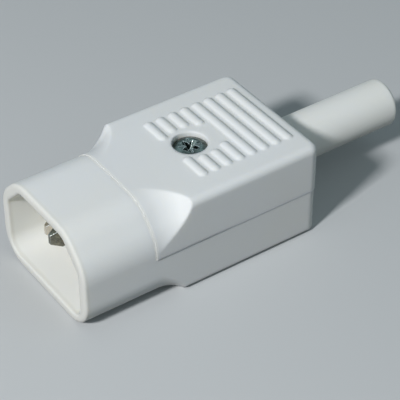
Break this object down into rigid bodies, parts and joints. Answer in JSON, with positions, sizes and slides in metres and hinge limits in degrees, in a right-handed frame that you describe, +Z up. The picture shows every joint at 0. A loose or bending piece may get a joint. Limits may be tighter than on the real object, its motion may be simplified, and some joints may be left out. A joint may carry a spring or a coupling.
{
  "type": "rewireable power plug",
  "caption": "White rewireable in-line power plug: flat blades in a keyed shroud, ribbed screw-held cover and a soft cord sleeve; it ends a mains lead.",
  "frame": {"origin": "centre of the whole plug's footprint, at the height of its flat underside", "axes": "+X from the open shroud to the cord sleeve, +Y to the neutral blade, +Z up through the cover"},
  "size_m": [0.0798, 0.0294, 0.0208],
  "materials": {
    "housing": "white moulded plastic, satin",
    "sleeve": "soft white vinyl, satin",
    "plated_blade": "nickel-plated brass, semi-bright",
    "terminal_screw": "nickel-plated steel",
    "zinc_screw": "zinc-plated steel",
    "clamp_bar": "moulded plastic, satin"
  },
  "bodies": {
    "root": {"base_housing": "housing", "cover": "housing", "cover_screw": "zinc_screw", "bend_sleeve": "sleeve", "live_pin": "plated_blade", "neutral_pin": "plated_blade", "earth_pin": "plated_blade", "live_terminal_screw": "terminal_screw", "neutral_terminal_screw": "terminal_screw", "earth_terminal_screw": "terminal_screw", "cord_clamp": "clamp_bar", "clamp_screw_left": "zinc_screw", "clamp_screw_right": "zinc_screw"}
  },
  "joints": []
}
